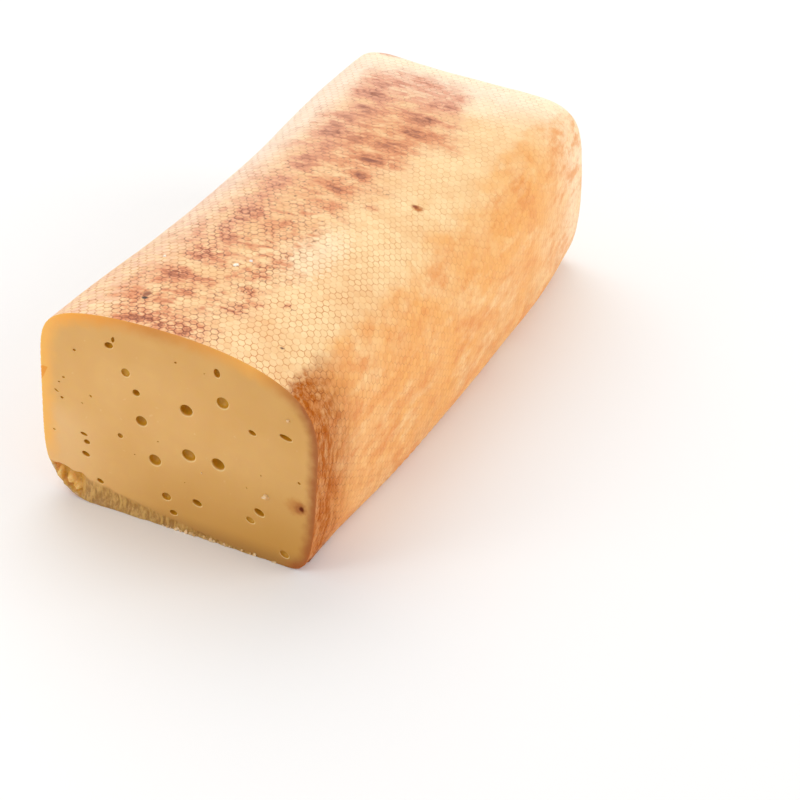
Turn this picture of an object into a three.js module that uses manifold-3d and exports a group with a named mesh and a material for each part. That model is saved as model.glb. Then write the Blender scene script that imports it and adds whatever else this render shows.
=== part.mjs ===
// Smoked baby Swiss cheese: a long loaf with a net-marked rind, cut open at one end.
// Millimetres, +Z up. The loaf lies on its flat base with its length along Y. The cut face
// looks along -Y, and the origin is on the base plane under the middle of the loaf's box.

import * as THREE from 'three';
import { mergeVertices } from 'three/addons/utils/BufferGeometryUtils.js';
import Module from 'manifold-3d';

// Length of the loaf from the cut face to the far end
const LENGTH = 290;

// Sizes of the cross-section along the loaf, as [share of the length, size]
const LEFT_HALF_WIDTH = [[0, 59.5], [0.25, 57], [0.5, 58], [0.75, 61.5], [1, 60]];
const RIGHT_HALF_WIDTH = [[0, 60.5], [0.35, 67], [0.7, 70.5], [1, 65]];
const CROWN_HEIGHT = [[0, 90.5], [0.4, 89], [0.8, 88.5], [1, 84]];
const RIGHT_LEAN = [[0, 0], [0.6, 0], [1, 6]];
const WIDEST_HEIGHT = [[0, 46], [0.7, 34], [1, 38]];

// Flatness of the section's top, bottom and sides: 2 is an ellipse's, and higher is flatter
const TOP_LEFT_FLAT = [[0, 2], [0.25, 3.5], [0.6, 5], [1, 10]];
const TOP_RIGHT_FLAT = [[0, 2], [0.25, 3], [0.6, 3], [1, 10]];
const UPPER_LEFT_FLAT = [[0, 7.5], [0.6, 5], [1, 8]];
const UPPER_RIGHT_FLAT = [[0, 4], [0.25, 3], [0.6, 3], [1, 6]];
const LOWER_FLAT = 5;

// How far the round underside would reach below the base, which cuts it off flat
const BASE_CUT_LEFT = [[0, 1.5], [1, 1.5]];
const BASE_CUT_RIGHT = [[0, 12], [0.5, 6], [1, 4]];

// The soft loaf's unevenness: [height, waves round the section, length of a wave along Y, phase]
const LUMPS = [[0.35, 2, 214, 0], [0.3, 3, -145, 1.3], [0.2, 5, 94, 0]];
const LUMPS_START = 0.1;
const LUMP_RADIUS = 60;

// The far end: its rounded edge, its skew across the loaf, its bulge, and its raised left corner
// with where that rise starts and is full: along the loaf, to the left and upwards
const END_RADIUS = 6;
const END_SKEW = 1;
const END_BULGE = 5;
const END_PIVOT = 30;
const END_CORNER_RISE = 2.5;
const RISE_ALONG = [0.7, 1];
const RISE_LEFT = [5, 60];
const RISE_UP = [40, 80];

// The cut face: its centre height, how far it dishes in, and the torn strip along its foot
const FACE_CENTRE = 45;
const FACE_DISH = 0.7;
const TEAR_HEIGHT = 13.5;
const TEAR_LEFT = -53;
const TEAR_RIGHT = 50;
const TEAR_FADE = 1.6;
const TEAR_RELIEF = 4;
const TEAR_CREASE = 0.6;

// The torn strip's comb of grooves between its fibres, how uneven they are, and the steps in phase
// from one groove to the next that spread the unevenness
const GROOVE_COUNT = 26;
const GROOVE_RADIUS = 1.9;
const GROOVE_LEAN = -10;
const GROOVE_SIDES = 5;
const GROOVE_FOOT = 1;
const GROOVES_LEFT = -49;
const GROOVES_RIGHT = 38;
const UNEVEN_SPACING = 0.3;
const UNEVEN_HEIGHT = 0.2;
const UNEVEN_RADIUS = 0.25;
const SPACING_STEP = 2.4;
const HEIGHT_STEP = 5.1;
const RADIUS_STEP = 3.7;

// The torn strip's broken corner: a shallow pocket, in the same terms as an eye, and its lumps as
// [across, behind, up, width, thickness, height, tilt in degrees], each a unit lump stretched
const CORNER_POCKET = [-49, 8, 11, 13, 0, 2.2];
const CORNER_LUMPS = [
  [-46, 2, 8.5, 8, 4.5, 5, 14], [-49.5, 1.5, 4.5, 6.5, 4.5, 5.5, 40], [-43.5, 1, 3.5, 5, 4, 4.5, 65],
  [-52, 1.5, 8.5, 2.5, 3, 10.5, -8],
];
const UNIT_LUMP_RADIUS = 0.55;

// Eyes in the cut face: [across, up, mouth width, mouth height, tilt in degrees, depth]
const EYES = [
  [5, 57.5, 5.3, 4.8, 0, 4.2], [6.2, 37, 5.8, 5, -10, 3], [19, 37.3, 5.6, 4.7, -25, 4.4],
  [-8.6, 29.5, 5.2, 4.8, -10, 3.2], [20.5, 66.2, 5, 4.9, -20, 2.4], [-14.6, 45.8, 4.8, 4.4, 0, 3],
  [-28.7, 76.2, 4.4, 3, 15, 3], [-26.4, 79.8, 1.8, 3, -10, 2.2], [10.3, 15.8, 4.2, 2.7, -15, 3.6],
  [37.3, 21.2, 4.5, 2.8, -25, 3.4], [-3.3, 14, 4, 3.4, 0, 2.2], [-21.3, 66, 3.7, 3.7, 0, 1.4],
  [18, 78.8, 2.6, 3.9, 10, 2.4], [47.3, 59.8, 5.2, 2.1, -10, 2.6], [33.7, 16.3, 3.8, 2.5, -20, 1.3],
  [-16.8, 58.2, 3.1, 2.9, 0, 2.8], [33.2, 57, 3.3, 2, -20, 2.2], [-39.9, 21.5, 3.6, 2.2, -15, 2.4],
  [49, 5.6, 4, 2.8, -25, 1.6], [-39.3, 27.5, 2.7, 2.2, 0, 2], [-40.5, 30.9, 3.3, 1.4, -10, 1.6],
  [0, 7.4, 3.3, 2.3, 0, 2.2], [-33.4, 10.6, 3.1, 2, -20, 2.2], [-24.1, 35.7, 2.3, 2.2, 0, 1.4],
];

// Facets: points round the section, rows along the body and round the end, and the caps' rings
const AROUND = 88;
const FINE_AROUND = 1440;
const BODY_ROWS = 20;
const ROUNDING_ROWS = 4;
const FACE_RINGS = [0.2, 0.45, 0.65, 0.78, 0.87, 0.93, 0.97];
const END_RINGS = [0.88, 0.66, 0.36];

const RIND_COLOUR = 0xeeb878;

const wasm = await Module();
wasm.setup();

const { clamp, degToRad, lerp, smoothstep } = THREE.MathUtils;

// The slope of a profile at one of its given sizes, from the sizes beside it
function slopeAt(profile, i) {
  const [start, from] = profile[Math.max(i - 1, 0)];
  const [end, to] = profile[Math.min(i + 1, profile.length - 1)];
  return (to - from) / (end - start);
}

// The value at share v of the length, on a smooth curve through a profile's given sizes
function along(profile, v) {
  const next = Math.max(1, profile.findIndex(([share]) => share >= v));
  const [[start, from], [end, to]] = [profile[next - 1], profile[next]];
  const t = (v - start) / (end - start);
  const leaving = slopeAt(profile, next - 1) * (end - start);
  const arriving = slopeAt(profile, next) * (end - start);
  const bend = t * (1 - t) * ((1 - t) * (leaving - to + from) - t * (arriving - to + from));
  return lerp(from, to, t) + bend;
}

// One point of the section's outline at share v of the length, at an angle round the section
function outlinePoint(v, angle) {
  const cos = Math.cos(angle);
  const sin = Math.sin(angle);
  const top = sin > 0;
  const right = cos > 0;
  const upper = right ? UPPER_RIGHT_FLAT : UPPER_LEFT_FLAT;
  const crown = right ? TOP_RIGHT_FLAT : TOP_LEFT_FLAT;
  const endFlat = top ? along(crown, v) : LOWER_FLAT;
  const sideFlat = top ? along(upper, v) : LOWER_FLAT;
  const halfWidth = along(right ? RIGHT_HALF_WIDTH : LEFT_HALF_WIDTH, v);
  const widest = along(WIDEST_HEIGHT, v);
  const baseCut = along(right ? BASE_CUT_RIGHT : BASE_CUT_LEFT, v);
  const halfHeight = top ? along(CROWN_HEIGHT, v) - widest : widest + baseCut;
  let reach = 1;
  for (const [height, waves, length, phase] of LUMPS) {
    const wave = Math.sin(waves * angle + (2 * Math.PI * v * LENGTH) / length + phase);
    reach += (height / LUMP_RADIUS) * wave * smoothstep(v, 0, LUMPS_START);
  }
  const up = Math.sign(sin) * Math.abs(sin) ** (2 / sideFlat);
  const lean = top && right ? along(RIGHT_LEAN, v) * up : 0;
  const x = (halfWidth - lean) * reach * Math.sign(cos) * Math.abs(cos) ** (2 / endFlat);
  const z = widest + halfHeight * reach * up;
  const leftTop = smoothstep(-x, ...RISE_LEFT) * smoothstep(z, ...RISE_UP);
  const rise = END_CORNER_RISE * smoothstep(v, ...RISE_ALONG) * leftTop;
  return new THREE.Vector2(x, Math.max(z + rise, 0));
}

// The angle round the section at which its right side meets the base
function baseCorner(v) {
  const widest = along(WIDEST_HEIGHT, v);
  const share = widest / (widest + along(BASE_CUT_RIGHT, v));
  return -Math.asin(share ** (LOWER_FLAT / 2));
}

// The section's outline at share v, as points spaced evenly round it from its right base corner
function outline(v) {
  const corner = baseCorner(v);
  const fine = Array.from({ length: FINE_AROUND + 1 }, (_, i) =>
    outlinePoint(v, corner + (2 * Math.PI * i) / FINE_AROUND),
  );
  const lengths = [0];
  fine.slice(1).forEach((p, i) => lengths.push(lengths[i] + p.distanceTo(fine[i])));
  const step = lengths[FINE_AROUND] / AROUND;
  return Array.from({ length: AROUND }, (_, i) => {
    const at = lengths.findIndex((length) => length >= i * step - 1e-9);
    return fine[at];
  });
}

// The height of the torn strip, which fades out to the right
function tearHeight(x) {
  const fade = clamp((TEAR_RIGHT - x) / (TEAR_RIGHT - TEAR_LEFT), 0, 1);
  return TEAR_HEIGHT * fade ** TEAR_FADE;
}

// How far the cut surface lies behind the plane of the knife: creased in and then out in the tear
function faceDepth(x, z, share) {
  const dish = FACE_DISH * (1 - share * share);
  const height = Math.max(tearHeight(x), 0.01);
  const down = clamp(1 - z / height, 0, 1);
  return dish + TEAR_RELIEF * (height / TEAR_HEIGHT) * down * (1 - down / TEAR_CREASE);
}

// A ring of the cut face: the first outline shrunk towards the face's centre
function faceRing(share) {
  return outline(0).map((p) => {
    const x = p.x * share;
    const z = FACE_CENTRE + (p.y - FACE_CENTRE) * share;
    return new THREE.Vector3(x, faceDepth(x, z, share), z);
  });
}

// A ring of the body: an outline drawn in by the rounding of the far end
function bodyRing(y) {
  const past = Math.max(0, y - (LENGTH - END_RADIUS));
  const inset = END_RADIUS - Math.sqrt(END_RADIUS ** 2 - past ** 2);
  const v = y / LENGTH;
  return outline(v).map((p) => {
    const x = p.x * (1 - inset / along(RIGHT_HALF_WIDTH, v));
    const z = END_PIVOT + (p.y - END_PIVOT) * (1 - inset / FACE_CENTRE);
    return new THREE.Vector3(x, y - END_SKEW * (p.x / LUMP_RADIUS) * v * v, z);
  });
}

// A ring of the far end: the last body ring shrunk towards its middle and bulged out
function endRing(last, share) {
  const halfWidth = Math.max(...last.map((p) => Math.abs(p.x)));
  const halfHeight = Math.max(...last.map((p) => p.z)) / 2;
  return last.map((p) => {
    const x = p.x * share;
    const up = (p.z - halfHeight) * share;
    const bulge = END_BULGE * (1 - (x / halfWidth) ** 2) * (1 - (up / halfHeight) ** 2);
    return new THREE.Vector3(x, LENGTH + (p.y - LENGTH) * share + bulge, halfHeight + up);
  });
}

// Where the body's rings lie along the loaf, closer together where the far end rounds off
function bodyPlaces() {
  const straight = LENGTH - END_RADIUS;
  const places = Array.from({ length: BODY_ROWS }, (_, i) => ((i + 1) / BODY_ROWS) * straight);
  for (let row = 1; row <= ROUNDING_ROWS; row++) {
    const turn = (row / ROUNDING_ROWS) * (Math.PI / 2);
    places.push(straight + END_RADIUS * Math.sin(turn));
  }
  return places;
}

// A closed skin over rings of equal count, with a fan to a point at each end
function skin(rings, first, last) {
  const points = [first, ...rings.flat(), last];
  const at = (row, i) => 1 + row * AROUND + (i % AROUND);
  const faces = [];
  for (let i = 0; i < AROUND; i++) {
    faces.push(0, at(0, i), at(0, i + 1));
    for (let row = 0; row + 1 < rings.length; row++) {
      faces.push(at(row, i), at(row + 1, i), at(row + 1, i + 1));
      faces.push(at(row, i), at(row + 1, i + 1), at(row, i + 1));
    }
    faces.push(at(rings.length - 1, i), points.length - 1, at(rings.length - 1, i + 1));
  }
  return new THREE.BufferGeometry().setFromPoints(points).setIndex(faces);
}

// The loaf before its eyes are opened, from the middle of the cut face to the middle of the far end
function loafGeometry() {
  const face = [...FACE_RINGS, 1].map(faceRing);
  const body = bodyPlaces().map(bodyRing);
  const last = body[body.length - 1];
  const end = END_RINGS.map((share) => endRing(last, share));
  const faceMiddle = new THREE.Vector3(0, FACE_DISH, FACE_CENTRE);
  const [endMiddle] = endRing(last, 0);
  return skin([...face, ...body, ...end], faceMiddle, endMiddle);
}

// The bubble behind one eye: a round one whose cut by the face has the mouth's size
function bubbleGeometry([across, up, wide, high, tilt, deep]) {
  const mouth = (wide + high) / 4;
  const radius = (mouth * mouth + deep * deep) / (2 * deep);
  const bubble = new THREE.IcosahedronGeometry(1, 2);
  bubble.scale((radius * wide) / (2 * mouth), radius, (radius * high) / (2 * mouth));
  bubble.rotateY(degToRad(-tilt));
  bubble.translate(across, faceDepth(across, up, 1) + deep - radius, up);
  return bubble;
}

// A groove of the torn strip: a slim pointed wedge that widens towards the base
function grooveGeometry(number) {
  const spread = (number + 0.5 + UNEVEN_SPACING * Math.sin(number * SPACING_STEP)) / GROOVE_COUNT;
  const x = lerp(GROOVES_LEFT, GROOVES_RIGHT, spread);
  const top = tearHeight(x) * (1 - UNEVEN_HEIGHT + UNEVEN_HEIGHT * Math.sin(number * HEIGHT_STEP));
  const height = top + GROOVE_FOOT;
  const radius = GROOVE_RADIUS * (1 - UNEVEN_RADIUS + UNEVEN_RADIUS * Math.sin(number * RADIUS_STEP));
  const groove = new THREE.ConeGeometry(radius, height, GROOVE_SIDES);
  groove.rotateX(Math.PI / 2);
  groove.translate(0, 0, height / 2 - GROOVE_FOOT);
  groove.rotateX(degToRad(GROOVE_LEAN));
  groove.translate(x, faceDepth(x, 0, 1), 0);
  return groove;
}

// One angular lump of broken cheese
function lumpGeometry([across, behind, up, wide, thick, high, tilt]) {
  const lump = new THREE.DodecahedronGeometry(UNIT_LUMP_RADIUS);
  lump.rotateX(degToRad(tilt));
  lump.scale(wide, thick, high);
  lump.rotateY(degToRad(tilt));
  lump.translate(across, behind, up);
  return lump;
}

// A solid from a closed geometry
function solid(geometry) {
  const bare = geometry.clone();
  bare.deleteAttribute('normal');
  bare.deleteAttribute('uv');
  const merged = mergeVertices(bare);
  const vertProperties = new Float32Array(merged.attributes.position.array);
  const triVerts = new Uint32Array(merged.index.array);
  return new wasm.Manifold(new wasm.Mesh({ numProp: 3, vertProperties, triVerts }));
}

// A geometry from a solid
function geometryOf(made) {
  const { vertProperties, triVerts } = made.getMesh();
  const geometry = new THREE.BufferGeometry();
  geometry.setAttribute('position', new THREE.BufferAttribute(vertProperties, 3));
  geometry.setIndex(new THREE.BufferAttribute(triVerts, 1));
  geometry.computeVertexNormals();
  return geometry;
}

// The whole loaf, torn and with its eyes open, its box centred on the origin and standing on it
function cheeseLoaf() {
  const grooves = Array.from({ length: GROOVE_COUNT }, (_, number) => grooveGeometry(number));
  const hollows = [...[...EYES, CORNER_POCKET].map(bubbleGeometry), ...grooves];
  let loaf = solid(loafGeometry());
  for (const hollow of hollows) loaf = loaf.subtract(solid(hollow));
  for (const lump of CORNER_LUMPS) loaf = loaf.add(solid(lumpGeometry(lump)));
  const geometry = geometryOf(loaf);
  geometry.computeBoundingBox();
  const { min, max } = geometry.boundingBox;
  geometry.translate(-(min.x + max.x) / 2, -(min.y + max.y) / 2, -min.z);
  const material = new THREE.MeshStandardMaterial({ color: RIND_COLOUR, roughness: 0.55, metalness: 0 });
  const mesh = new THREE.Mesh(geometry, material);
  mesh.name = 'cheese_loaf';
  return mesh;
}

const cheese = new THREE.Group();
cheese.add(cheeseLoaf());

export default cheese;
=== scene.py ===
# %% [markdown]
# # A loaf of smoked baby Swiss cheese
#
# The loaf is a long block of soft, pale cheese in a thin smoked rind. While it was pressed and
# smoked it sat in a net, which left a honeycomb of small pads all over the rind. One end is cut
# open, so the smooth paste shows with its round eyes, and the foot of the cut is torn.
#
# The solid from the frame gives every size. This lesson lays a net over that solid, cuts it with
# a knife plane, fills the cut with a face that has real eyes, and then colours it all with
# procedural materials.

# %% The frame and its measures
import math
import random

import bmesh
import bpy
from mathutils import Matrix, Vector, noise
from mathutils.bvhtree import BVHTree
from mathutils.geometry import delaunay_2d_cdt
from mathutils.kdtree import KDTree


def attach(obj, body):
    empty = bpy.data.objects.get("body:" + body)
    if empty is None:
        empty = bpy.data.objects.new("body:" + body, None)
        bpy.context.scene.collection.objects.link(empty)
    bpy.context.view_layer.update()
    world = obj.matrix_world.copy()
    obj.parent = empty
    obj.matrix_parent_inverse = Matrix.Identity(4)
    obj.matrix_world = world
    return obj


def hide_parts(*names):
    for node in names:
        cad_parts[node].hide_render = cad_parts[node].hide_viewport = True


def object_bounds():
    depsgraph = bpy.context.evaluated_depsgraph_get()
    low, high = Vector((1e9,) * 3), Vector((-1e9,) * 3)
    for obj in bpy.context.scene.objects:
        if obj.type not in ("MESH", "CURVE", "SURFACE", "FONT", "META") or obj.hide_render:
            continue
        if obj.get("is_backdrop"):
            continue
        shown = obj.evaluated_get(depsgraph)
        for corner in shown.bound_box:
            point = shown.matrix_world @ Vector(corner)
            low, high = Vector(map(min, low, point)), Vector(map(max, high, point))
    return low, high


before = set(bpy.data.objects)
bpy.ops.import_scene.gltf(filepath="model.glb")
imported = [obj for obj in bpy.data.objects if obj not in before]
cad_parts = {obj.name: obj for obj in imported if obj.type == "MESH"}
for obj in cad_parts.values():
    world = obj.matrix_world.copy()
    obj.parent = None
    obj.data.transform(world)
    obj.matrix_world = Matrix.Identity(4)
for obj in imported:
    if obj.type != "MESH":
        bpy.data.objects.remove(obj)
cad_low, cad_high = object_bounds()

MM = 0.001
SEED = 7


def print_box(name, low, high):
    """Prints a box's lowest and highest corner in millimetres."""
    low, high = ([round(c / MM, 1) for c in corner] for corner in (low, high))
    print(name, "from", low, "to", high, "mm")


def surface(mesh):
    """A mesh's faces, ready to be met by rays."""
    return BVHTree.FromPolygons([v.co for v in mesh.vertices], [p.vertices for p in mesh.polygons])


def new_object(name, data):
    """An object in the scene that shows the data."""
    piece = bpy.data.objects.new(name, data)
    bpy.context.collection.objects.link(piece)
    return piece


solid_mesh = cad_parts["cheese_loaf"].data
solid_points = [v.co.copy() for v in solid_mesh.vertices]
solid_tree = surface(solid_mesh)
print_box("solid", cad_low, cad_high)

# %% [markdown]
# ## Where the knife went
#
# Everything on the cut is placed from the knife's plane. The upper half of the cut face is clean,
# so its foremost points give the plane, and their spread gives the middle of the face. Reading
# both from the solid keeps the looks and the solid together.

# %% The plane of the cut and its middle
RIGHT_EXCESS = 1.5 * MM
FACE_SLACK = 0.3 * MM
half_height = cad_high.z / 2
knife_y = min(p.y for p in solid_points if p.z > half_height)
face_points = [p for p in solid_points if p.z > half_height and p.y < knife_y + FACE_SLACK]
face_left = min(p.x for p in face_points)
face_right = max(p.x for p in face_points)
face_x = (face_left + face_right) / 2 - RIGHT_EXCESS / 2
loaf_length = cad_high.y - knife_y
print("knife plane at y", round(knife_y / MM, 2), "face middle at x", round(face_x / MM, 2))

# %% [markdown]
# ## Two small helpers
#
# Paint programs give colours as screen values, but shaders add up light, so one helper turns the
# first into the second. The other is a smooth step, for all that starts and ends softly.

# %% Screen colours to light, and a smooth step
def light(red, green, blue):
    """A shader colour from screen values between 0 and 255."""
    def channel(value):
        share = value / 255
        return share / 12.92 if share <= 0.04045 else ((share + 0.055) / 1.055) ** 2.4
    return (channel(red), channel(green), channel(blue), 1.0)


def ease(share):
    """A smooth step from 0 to 1."""
    share = min(max(share, 0.0), 1.0)
    return share * share * (3 - 2 * share)


# %% [markdown]
# ## A cage for the net
#
# The net's cells are about 3.4 mm apart in staggered rows, and the rows bow: they run ahead on top
# and lag behind on both sides. Rings of points, every second one turned by half a step, make
# triangles, and later the dual of those triangles makes the hexagons. Each point is found by a ray
# from the loaf's axis to the solid and moved a little at random, because no cell is quite like the
# next. The rings start in front of the knife plane, so that the knife can cut through the cells.

# %% Points on the loaf's skin
PITCH = 3.36 * MM
ROW_STEP = PITCH * math.sqrt(3) / 2
AXIS = Vector((face_x + 4 * MM, 0, 45 * MM))
CLEAR_OF_EYES = 5.2 * MM
SLANT = 0.02
BOW = 0.0085 / MM
BOW_MIDDLE = face_x - 12 * MM
BOW_REACH = 38 * MM
BOW_HELD = 0.55
END_ROUNDING = 6 * MM
END_BULGE = 5 * MM
AHEAD = 8 * MM
UNEVEN = 0.22
TRIALS = 240
PER_RADIAN = 60
ROUNDING_ROWS = 3
uneven = random.Random(SEED)


def skin_point(y, angle):
    """The loaf's skin at a place along it and an angle round it."""
    start = Vector((AXIS.x, max(y, knife_y + CLEAR_OF_EYES), AXIS.z))
    hit = solid_tree.ray_cast(start, Vector((math.cos(angle), 0, math.sin(angle))))[0]
    return Vector((hit.x, y, hit.z))


def lag(x, bow):
    """How far a ring stays behind at a place across the loaf, by its slant and its bow."""
    away = abs(x - BOW_MIDDLE)
    near = min(away, BOW_REACH)
    return SLANT * (x - AXIS.x) + bow * BOW * near * (away - near / 2)


def bowed_point(place, bow, angle):
    """The skin on a bowed ring: the bow moves the point along the loaf."""
    point = skin_point(place, angle)
    for _ in range(2):
        point = skin_point(place - lag(point.x, bow), angle)
    return point


def ring(place, count, turn):
    """Points spaced nearly evenly round the loaf on one ring, straight at the far end."""
    along = (place - knife_y) / loaf_length
    bow = 1 - ease((along - BOW_HELD) / (1 - BOW_HELD))
    trial = [2 * math.pi * i / TRIALS for i in range(TRIALS + 1)]
    outline = [bowed_point(place, bow, a) for a in trial]
    lengths = [0.0]
    for a, b in zip(outline, outline[1:]):
        lengths.append(lengths[-1] + (b - a).length)
    points = []
    at = 0
    for i in range(count):
        want = (i + turn + uneven.uniform(-UNEVEN, UNEVEN)) / count * lengths[-1]
        while lengths[at + 1] < want:
            at += 1
        share = (want - lengths[at]) / (lengths[at + 1] - lengths[at])
        row = place + uneven.uniform(-UNEVEN, UNEVEN) * ROW_STEP
        points.append(bowed_point(row, bow, trial[at] + share * (trial[at + 1] - trial[at])))
    return points


def ring_places():
    """Places of the rings, closer together where the far end rounds off."""
    end = cad_high.y - END_BULGE - SLANT * cad_high.x
    straight = end - END_ROUNDING
    rows = round((straight - knife_y + AHEAD) / ROW_STEP)
    places = [knife_y - AHEAD + (straight - knife_y + AHEAD) * i / rows for i in range(rows + 1)]
    turn = ROW_STEP / END_ROUNDING
    return places + [straight + END_ROUNDING * math.sin(turn * k) for k in range(1, ROUNDING_ROWS + 1)]


turns = [k / PER_RADIAN for k in range(math.ceil(2 * math.pi * PER_RADIAN) + 1)]
girth = sum((skin_point(0, a) - skin_point(0, b)).length for a, b in zip(turns, turns[1:]))
AROUND = round(girth / PITCH)
rings = [ring(place, AROUND, 0.5 * (k % 2)) for k, place in enumerate(ring_places())]
print(len(rings), "rings of", AROUND, "points, girth", round(girth / MM), "mm")

# %% [markdown]
# The far end is closed with a patch of the same staggered points, found by rays along the loaf. A
# Delaunay triangulation joins them to the last ring.

# %% The cage with its far end closed
CAP_GAP = 0.75 * PITCH
CAP_SLACK = 1e-9
BEHIND_END = 100 * MM
INSIDE_ONLY = 1


def staggered(left, width, height, step):
    """Places in level rows, every second row moved by half a step."""
    row_step = step * math.sqrt(3) / 2
    for row in range(int(height / row_step)):
        for column in range(int(width / step)):
            yield Vector((left + (column + 0.5 * (row % 2)) * step, row * row_step))


def end_points(last):
    """Staggered points on the far end, kept clear of the last ring."""
    outline = [Vector((p.x, p.z)) for p in last]
    points = []
    for place in staggered(cad_low.x, cad_high.x - cad_low.x + PITCH, cad_high.z + PITCH, PITCH):
        if inside(place, outline, CAP_GAP):
            start = Vector((place.x, cad_high.y + BEHIND_END, place.y))
            points.append(solid_tree.ray_cast(start, Vector((0, -1, 0)))[0])
    return points


def inside(point, outline, margin):
    """True for a point in a closed outline, at least a margin away from its corners."""
    within = False
    for a, b in zip(outline, outline[1:] + outline[:1]):
        if (a - point).length < margin:
            return False
        if (a.y > point.y) != (b.y > point.y):
            crossing = a.x + (point.y - a.y) / (b.y - a.y) * (b.x - a.x)
            within = within != (point.x < crossing)
    return within


def make_cage():
    """The net's triangles all over the loaf, open only in front of the knife."""
    points = [p for r in rings for p in r]
    faces = []
    for k in range(len(rings) - 1):
        for i in range(AROUND):
            near, far = k * AROUND, (k + 1) * AROUND
            a, b = near + i, near + (i + 1) % AROUND
            c, d = far + i, far + (i + 1) % AROUND
            faces += [(a, c, b), (b, c, d)] if k % 2 else [(a, c, d), (a, d, b)]
    last = rings[-1]
    cap = end_points(last)
    flat = [Vector((p.x, p.z)) for p in last + cap]
    edges = [(i, (i + 1) % AROUND) for i in range(AROUND)]
    made = delaunay_2d_cdt(flat, edges, [list(range(AROUND))], INSIDE_ONLY, CAP_SLACK)
    start = len(points) - AROUND
    points += cap
    for corners in made[2]:
        a, b, c = (start + made[3][i][0] for i in corners)
        faces.append((a, c, b))
    mesh = bpy.data.meshes.new("net_cage")
    mesh.from_pydata(points, [], faces)
    return mesh


cage = new_object("net_cage", make_cage())
print("cage:", len(cage.data.vertices), "points,", len(cage.data.polygons), "triangles")

# %% [markdown]
# ## The net-marked rind
#
# Node trees can be built in code as well as by hand. These helpers make a tree with named inputs,
# add a node and set its sockets, end a tree with one material, and run a tree on a piece. What the
# tree gives is kept as a plain mesh, so no modifier stays behind.

# %% Helpers for node trees
def new_tree(name, inputs):
    """A Geometry Nodes tree with a mesh in, a mesh out and named inputs for its sizes."""
    tree = bpy.data.node_groups.new(name, "GeometryNodeTree")
    tree.interface.new_socket("Geometry", in_out="INPUT", socket_type="NodeSocketGeometry")
    for label, kind in inputs:
        tree.interface.new_socket(label, in_out="INPUT", socket_type="NodeSocket" + kind)
    tree.interface.new_socket("Geometry", in_out="OUTPUT", socket_type="NodeSocketGeometry")
    return tree


def fill(node, sockets):
    """Sets a node's sockets by name, or by number as i0, to a value or to another node's output."""
    for key, value in sockets.items():
        socket = node.inputs[int(key[1:])] if key[1:].isdigit() else node.inputs[key.replace("_", " ")]
        if isinstance(value, bpy.types.Node):
            value = value.outputs[0]
        if isinstance(value, bpy.types.NodeSocket):
            node.id_data.links.new(value, socket)
        else:
            socket.default_value = value


def add(tree, kind, settings=None, **sockets):
    """A new node with its settings made and its sockets filled."""
    node = tree.nodes.new(kind)
    for key, value in (settings or {}).items():
        setattr(node, key, value)
    fill(node, sockets)
    return node


def end_tree(tree, shape, material):
    """Ends a tree: copies made real, one material, and the mesh handed out."""
    whole = add(tree, "GeometryNodeRealizeInstances", Geometry=shape)
    painted = add(tree, "GeometryNodeSetMaterial", Geometry=whole, Material=material)
    add(tree, "NodeGroupOutput", Geometry=painted)


def apply_tree(piece, tree, values):
    """Runs a tree on a piece, with its inputs set by identifier, and keeps the plain mesh."""
    modifier = piece.modifiers.new(tree.name, "NODES")
    modifier.node_group = tree
    for item in tree.interface.items_tree:
        if item.in_out == "INPUT" and item.name in values:
            modifier[item.identifier] = values[item.name]
    graph = bpy.context.evaluated_depsgraph_get()
    mesh = bpy.data.meshes.new_from_object(piece.evaluated_get(graph))
    piece.modifiers.remove(modifier)
    return mesh


# %% [markdown]
# Each point of the cage becomes one cell of the net. Geometry Nodes does it in a few steps: blur
# the points so that the solid's facets go, swap triangles for hexagons with Dual Mesh, sink the
# skin a little, and push every hexagon out again as a small pad with sloping sides. The pads keep
# a mark, 1 on top and 0 in the grooves, for the material. The underside is left plain, because the
# loaf's weight has pressed it flat.

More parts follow.
